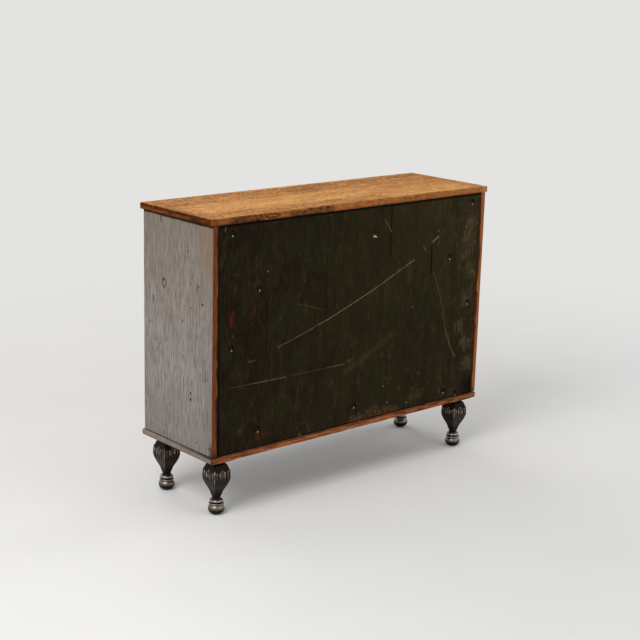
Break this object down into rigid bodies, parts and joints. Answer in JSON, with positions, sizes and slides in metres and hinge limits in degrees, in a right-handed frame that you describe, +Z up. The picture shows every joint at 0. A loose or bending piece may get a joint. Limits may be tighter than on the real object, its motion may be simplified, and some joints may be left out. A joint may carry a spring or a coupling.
{
  "type": "hardware cabinet",
  "caption": "Low wooden bank of inset drawers with cup pulls, an edged oak top and a closed dark back, standing on ornate cast iron feet with turned ball ends.",
  "frame": {"origin": "on the floor, under the middle of the cabinet's bounding box, pulls included", "axes": "+X to the right as seen from the drawers, along the width; +Y from the drawers to the closed back; +Z up"},
  "size_m": [1.156, 0.374, 0.917],
  "materials": {
    "top_oak": "satin",
    "edging_oak": "satin",
    "painted_wood": "worn matt paint",
    "back_wood": "dull, stained",
    "carcass_wood": "raw, aged",
    "front_oak": "satin",
    "box_wood": "raw, planed",
    "foot_iron": "waxed, worn bright on the beads",
    "pull_iron": "waxed",
    "nail_steel": "dull, aged",
    "screw_steel": "dark, aged"
  },
  "bodies": {
    "case": {"top_board": "top_oak", "top_edging": "edging_oak", "base_board": "painted_wood", "side_left": "painted_wood", "side_right": "painted_wood", "back_panel": "back_wood", "uprights": "carcass_wood", "shelves": "carcass_wood", "front_rail": "painted_wood", "back_rails": "carcass_wood", "drawer_stops": "carcass_wood", "foot_screws": "screw_steel", "back_nails": "nail_steel", "case_nails": "nail_steel", "foot_front_left": "foot_iron", "foot_front_right": "foot_iron", "foot_back_left": "foot_iron", "foot_back_right": "foot_iron"},
    "drawer_1": {"drawer_front_1": "front_oak", "drawer_box_1": "box_wood", "drawer_pull_1": "pull_iron"},
    "drawer_2": {"drawer_front_2": "front_oak", "drawer_box_2": "box_wood", "drawer_pull_2": "pull_iron"},
    "drawer_3": {"drawer_front_3": "front_oak", "drawer_box_3": "box_wood", "drawer_pull_3": "pull_iron"},
    "drawer_4": {"drawer_front_4": "front_oak", "drawer_box_4": "box_wood", "drawer_pull_4": "pull_iron"},
    "drawer_5": {"drawer_front_5": "front_oak", "drawer_box_5": "box_wood", "drawer_pull_5": "pull_iron"},
    "drawer_6": {"drawer_front_6": "front_oak", "drawer_box_6": "box_wood", "drawer_pull_6": "pull_iron"},
    "drawer_7": {"drawer_front_7": "front_oak", "drawer_box_7": "box_wood", "drawer_pull_7": "pull_iron"},
    "drawer_8": {"drawer_front_8": "front_oak", "drawer_box_8": "box_wood", "drawer_pull_8": "pull_iron"},
    "drawer_9": {"drawer_front_9": "front_oak", "drawer_box_9": "box_wood", "drawer_pull_9": "pull_iron"},
    "drawer_10": {"drawer_front_10": "front_oak", "drawer_box_10": "box_wood", "drawer_pull_10": "pull_iron"},
    "drawer_11": {"drawer_front_11": "front_oak", "drawer_box_11": "box_wood", "drawer_pull_11": "pull_iron"},
    "drawer_12": {"drawer_front_12": "front_oak", "drawer_box_12": "box_wood", "drawer_pull_12": "pull_iron"},
    "drawer_13": {"drawer_front_13": "front_oak", "drawer_box_13": "box_wood", "drawer_pull_13": "pull_iron"},
    "drawer_14": {"drawer_front_14": "front_oak", "drawer_box_14": "box_wood", "drawer_pull_14": "pull_iron"}
  },
  "joints": [
    {"name": "drawer_1_slide", "type": "slide", "parent": "case", "child": "drawer_1", "axis": [0, -1, 0], "range_m": [0, 0.25]},
    {"name": "drawer_2_slide", "type": "slide", "parent": "case", "child": "drawer_2", "axis": [0, -1, 0], "range_m": [0, 0.25]},
    {"name": "drawer_3_slide", "type": "slide", "parent": "case", "child": "drawer_3", "axis": [0, -1, 0], "range_m": [0, 0.25]},
    {"name": "drawer_4_slide", "type": "slide", "parent": "case", "child": "drawer_4", "axis": [0, -1, 0], "range_m": [0, 0.25]},
    {"name": "drawer_5_slide", "type": "slide", "parent": "case", "child": "drawer_5", "axis": [0, -1, 0], "range_m": [0, 0.25]},
    {"name": "drawer_6_slide", "type": "slide", "parent": "case", "child": "drawer_6", "axis": [0, -1, 0], "range_m": [0, 0.25]},
    {"name": "drawer_7_slide", "type": "slide", "parent": "case", "child": "drawer_7", "axis": [0, -1, 0], "range_m": [0, 0.25]},
    {"name": "drawer_8_slide", "type": "slide", "parent": "case", "child": "drawer_8", "axis": [0, -1, 0], "range_m": [0, 0.25]},
    {"name": "drawer_9_slide", "type": "slide", "parent": "case", "child": "drawer_9", "axis": [0, -1, 0], "range_m": [0, 0.25]},
    {"name": "drawer_10_slide", "type": "slide", "parent": "case", "child": "drawer_10", "axis": [0, -1, 0], "range_m": [0, 0.25]},
    {"name": "drawer_11_slide", "type": "slide", "parent": "case", "child": "drawer_11", "axis": [0, -1, 0], "range_m": [0, 0.25]},
    {"name": "drawer_12_slide", "type": "slide", "parent": "case", "child": "drawer_12", "axis": [0, -1, 0], "range_m": [0, 0.25]},
    {"name": "drawer_13_slide", "type": "slide", "parent": "case", "child": "drawer_13", "axis": [0, -1, 0], "range_m": [0, 0.25]},
    {"name": "drawer_14_slide", "type": "slide", "parent": "case", "child": "drawer_14", "axis": [0, -1, 0], "range_m": [0, 0.25]}
  ]
}
